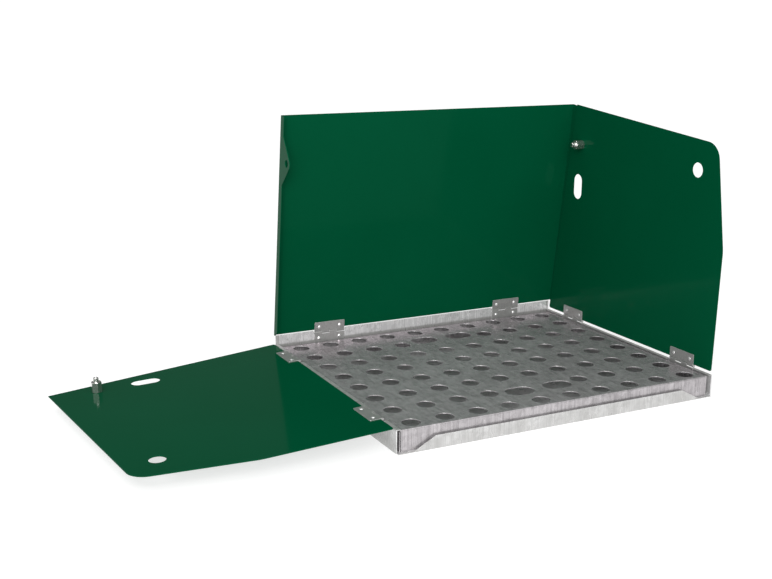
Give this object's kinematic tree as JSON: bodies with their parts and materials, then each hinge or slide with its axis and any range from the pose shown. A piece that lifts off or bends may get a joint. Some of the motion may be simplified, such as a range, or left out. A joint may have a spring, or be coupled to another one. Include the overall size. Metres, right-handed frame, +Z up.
{
  "type": "nesting box",
  "caption": "Fold-flat poultry nesting box: a galvanised tray with a perforated floor plate and three hinged, painted sheet-metal walls, open at the front and top.",
  "frame": {"origin": "on the ground, at the middle of the tray's footprint, without its front tab", "axes": "+X to the right seen from the open front, +Y to the rear, +Z up"},
  "size_m": [0.8498, 0.4043, 0.3815],
  "materials": {
    "green_paint": "gloss powder coat",
    "galvanised_tray": "hot-dip galvanised, fine spangle",
    "galvanised_floor": "galvanised, semi-gloss",
    "zinc_plated_hinge": "zinc plated, satin",
    "steel_rivet": "satin",
    "zinc_plated_stud": "zinc plated, bright"
  },
  "bodies": {
    "tray": {"back_left_hinge_fixed_leaf": "zinc_plated_hinge", "back_left_hinge_pin": "zinc_plated_hinge", "back_right_hinge_fixed_leaf": "zinc_plated_hinge", "back_right_hinge_pin": "zinc_plated_hinge", "back_tray_rivets": "steel_rivet", "base_tray": "galvanised_tray", "floor_plate": "galvanised_floor", "left_front_hinge_fixed_leaf": "zinc_plated_hinge", "left_front_hinge_pin": "zinc_plated_hinge", "left_rear_hinge_fixed_leaf": "zinc_plated_hinge", "left_rear_hinge_pin": "zinc_plated_hinge", "left_tray_rivets": "steel_rivet", "right_front_hinge_fixed_leaf": "zinc_plated_hinge", "right_front_hinge_pin": "zinc_plated_hinge", "right_rear_hinge_fixed_leaf": "zinc_plated_hinge", "right_rear_hinge_pin": "zinc_plated_hinge", "right_tray_rivets": "steel_rivet"},
    "left_side": {"left_front_hinge_moving_leaf": "zinc_plated_hinge", "left_panel_rivets": "steel_rivet", "left_rear_hinge_moving_leaf": "zinc_plated_hinge", "left_side_panel": "green_paint", "left_stud_bolt": "zinc_plated_stud", "left_stud_nut": "zinc_plated_stud"},
    "right_side": {"right_front_hinge_moving_leaf": "zinc_plated_hinge", "right_panel_rivets": "steel_rivet", "right_rear_hinge_moving_leaf": "zinc_plated_hinge", "right_side_panel": "green_paint", "right_stud_bolt": "zinc_plated_stud", "right_stud_nut": "zinc_plated_stud"},
    "back": {"back_left_hinge_moving_leaf": "zinc_plated_hinge", "back_panel": "green_paint", "back_panel_rivets": "steel_rivet", "back_right_hinge_moving_leaf": "zinc_plated_hinge"}
  },
  "joints": [
    {"name": "left_side_fold", "type": "hinge", "parent": "tray", "child": "left_side", "pos_m": [-0.2498, 0, 0.0333], "axis": [0, 1, 0], "range_deg": [-3, 80]},
    {"name": "right_side_fold", "type": "hinge", "parent": "tray", "child": "right_side", "pos_m": [0.2498, 0, 0.0333], "axis": [0, 1, 0], "range_deg": [-90, 0]},
    {"name": "back_fold", "type": "hinge", "parent": "tray", "child": "back", "pos_m": [0, 0.1998, 0.043], "axis": [1, 0, 0], "range_deg": [-104, 2]}
  ]
}
